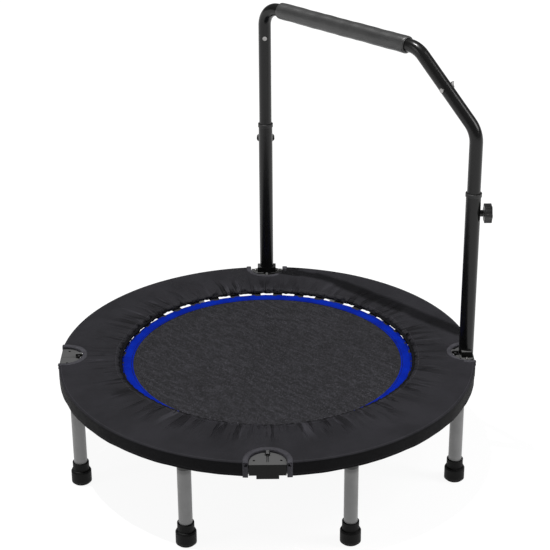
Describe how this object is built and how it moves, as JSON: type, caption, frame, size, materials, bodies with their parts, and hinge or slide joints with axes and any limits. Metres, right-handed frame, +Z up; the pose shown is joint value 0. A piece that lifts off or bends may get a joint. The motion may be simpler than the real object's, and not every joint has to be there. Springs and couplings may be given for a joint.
{
  "type": "mini trampoline",
  "caption": "Round folding rebounder with a padded ring, sprung mesh mat, screw-in legs on rubber feet and an adjustable corner handrail with a foam grip.",
  "frame": {"origin": "the ring's centre on the floor", "axes": "+X along the fold line towards the right-hand upright, +Y towards the rear upright, +Z up"},
  "size_m": [1.0386, 1.0386, 1.0022],
  "materials": {
    "pad_cover": "matt coated cloth, gathered to the hems",
    "mat_mesh": "open woven mesh",
    "mat_border": "blue woven webbing",
    "zinc_steel": "zinc plated wire",
    "frame_paint": "satin black powder coat",
    "leg_paint": "satin grey powder coat",
    "foot_rubber": "matt moulded rubber",
    "fastener_steel": "plated steel",
    "moulded_plastic": "moulded black plastic",
    "foam_rubber": "closed-cell foam",
    "rail_paint": "semi-gloss black powder coat"
  },
  "bodies": {
    "rear_half": {"pad_rear": "pad_cover", "mat_rear": "mat_mesh", "mat_border_rear": "mat_border", "springs_rear": "zinc_steel", "triangle_rings_rear": "zinc_steel", "frame_tube_rear_right": "frame_paint", "frame_tube_rear_left": "frame_paint", "leg_spigots_rear": "frame_paint", "leg_1": "leg_paint", "leg_2": "leg_paint", "leg_3": "leg_paint", "leg_4": "leg_paint", "foot_1": "foot_rubber", "foot_2": "foot_rubber", "foot_3": "foot_rubber", "foot_4": "foot_rubber", "hinge_leaf_right_rear": "frame_paint", "hinge_leaf_left_rear": "frame_paint", "hinge_leaf_rear_left": "frame_paint", "hinge_leaf_rear_right": "frame_paint", "hinge_pins_rear": "fastener_steel"},
    "front_half": {"pad_front": "pad_cover", "mat_front": "mat_mesh", "mat_border_front": "mat_border", "springs_front": "zinc_steel", "triangle_rings_front": "zinc_steel", "frame_tube_front_left": "frame_paint", "frame_tube_front_right": "frame_paint", "leg_spigots_front": "frame_paint", "leg_5": "leg_paint", "leg_6": "leg_paint", "leg_7": "leg_paint", "leg_8": "leg_paint", "foot_5": "foot_rubber", "foot_6": "foot_rubber", "foot_7": "foot_rubber", "foot_8": "foot_rubber", "hinge_leaf_right_front": "frame_paint", "hinge_leaf_left_front": "frame_paint", "hinge_leaf_front_right": "frame_paint", "hinge_leaf_front_left": "frame_paint", "hinge_pin_front": "fastener_steel"},
    "handrail_base": {"saddle_rear": "frame_paint", "lower_upright_rear": "rail_paint", "upright_bush_rear": "moulded_plastic", "saddle_right": "frame_paint", "lower_upright_right": "rail_paint", "upright_bush_right": "moulded_plastic", "saddle_screws": "fastener_steel", "clamp_bosses": "rail_paint"},
    "handrail_top": {"upper_upright_rear": "rail_paint", "upper_upright_right": "rail_paint", "top_bar": "rail_paint", "foam_grip": "foam_rubber", "joint_bolts": "fastener_steel", "joint_nuts": "fastener_steel"},
    "rear_clamp": {"clamp_screw_rear": "fastener_steel", "clamp_knob_rear": "moulded_plastic"},
    "right_clamp": {"clamp_screw_right": "fastener_steel", "clamp_knob_right": "moulded_plastic"}
  },
  "joints": [
    {"name": "frame_fold", "type": "hinge", "parent": "rear_half", "child": "front_half", "pos_m": [0, 0, 0.247], "axis": [-1, 0, 0], "range_deg": [0, 180]},
    {"name": "handrail_lift", "type": "slide", "parent": "rear_half", "child": "handrail_base", "axis": [0, 0, 1], "range_m": [0, 0.5]},
    {"name": "handrail_height", "type": "slide", "parent": "handrail_base", "child": "handrail_top", "axis": [0, 0, 1], "range_m": [-0.1, 0.08]},
    {"name": "rear_knob_turn", "type": "hinge", "parent": "handrail_base", "child": "rear_clamp", "pos_m": [0, 0.488, 0.615], "axis": [0, 1, 0], "continuous": true},
    {"name": "right_knob_turn", "type": "hinge", "parent": "handrail_base", "child": "right_clamp", "pos_m": [0.488, 0, 0.615], "axis": [1, 0, 0], "continuous": true}
  ],
  "couplings": [
    {"joint": "handrail_lift", "follows": "frame_fold", "m_per_rad": 0.159}
  ]
}
